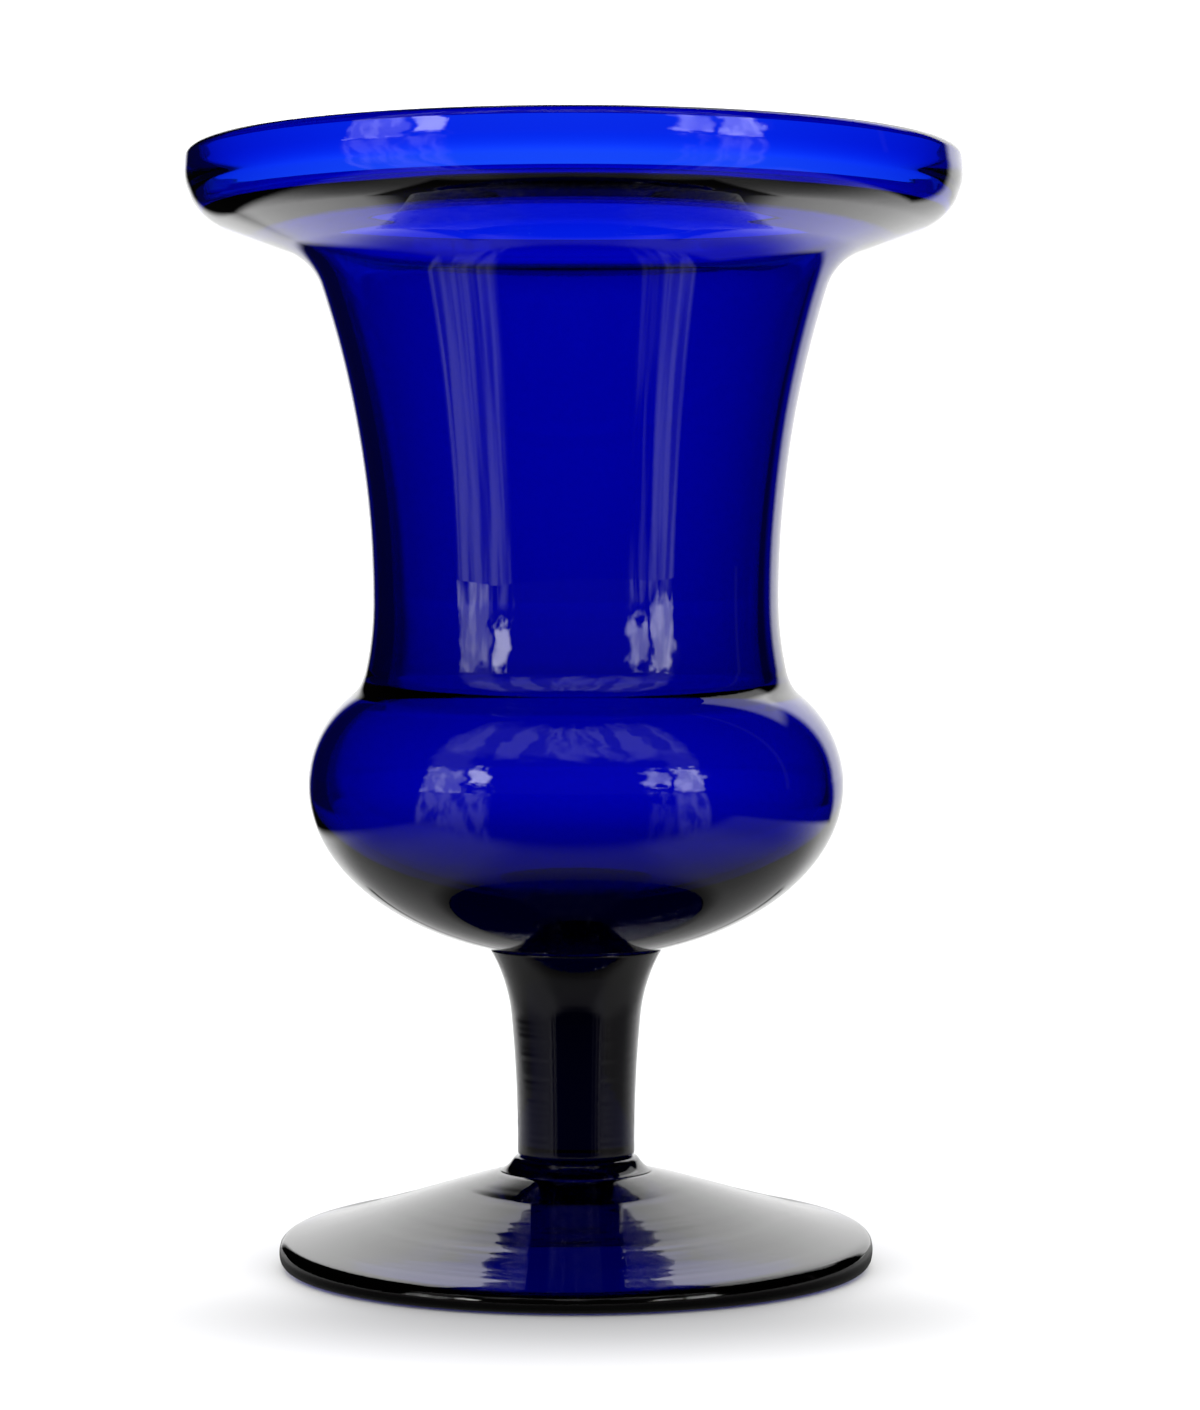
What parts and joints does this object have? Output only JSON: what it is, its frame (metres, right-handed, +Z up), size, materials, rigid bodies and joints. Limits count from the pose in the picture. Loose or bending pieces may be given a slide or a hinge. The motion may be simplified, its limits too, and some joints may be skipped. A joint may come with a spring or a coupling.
{
  "type": "footed glass vase",
  "caption": "Free-standing blown glass vase in bell form: wide flanged rim with an upright collar, waisted neck, squat bulb, solid flared stem and disc foot.",
  "frame": {"origin": "centre of the flat ring the foot rests on, on the table plane", "axes": "+Z up the axis of revolution, from the foot to the mouth; +X and +Y are free, because the part is turned about +Z"},
  "size_m": [0.168, 0.168, 0.24],
  "materials": {
    "bowl_glass": "clear cobalt-blue blown glass, fire-polished",
    "stem_glass": "solid cobalt-blue glass, nearly black in this thickness, faint tooling rings",
    "wafer_glass": "solid cobalt-blue glass, pressed hot",
    "foot_glass": "cobalt-blue glass, fire-polished with faint tooling rings"
  },
  "bodies": {
    "root": {"bowl": "bowl_glass", "stem": "stem_glass", "wafer": "wafer_glass", "foot": "foot_glass"}
  },
  "joints": []
}
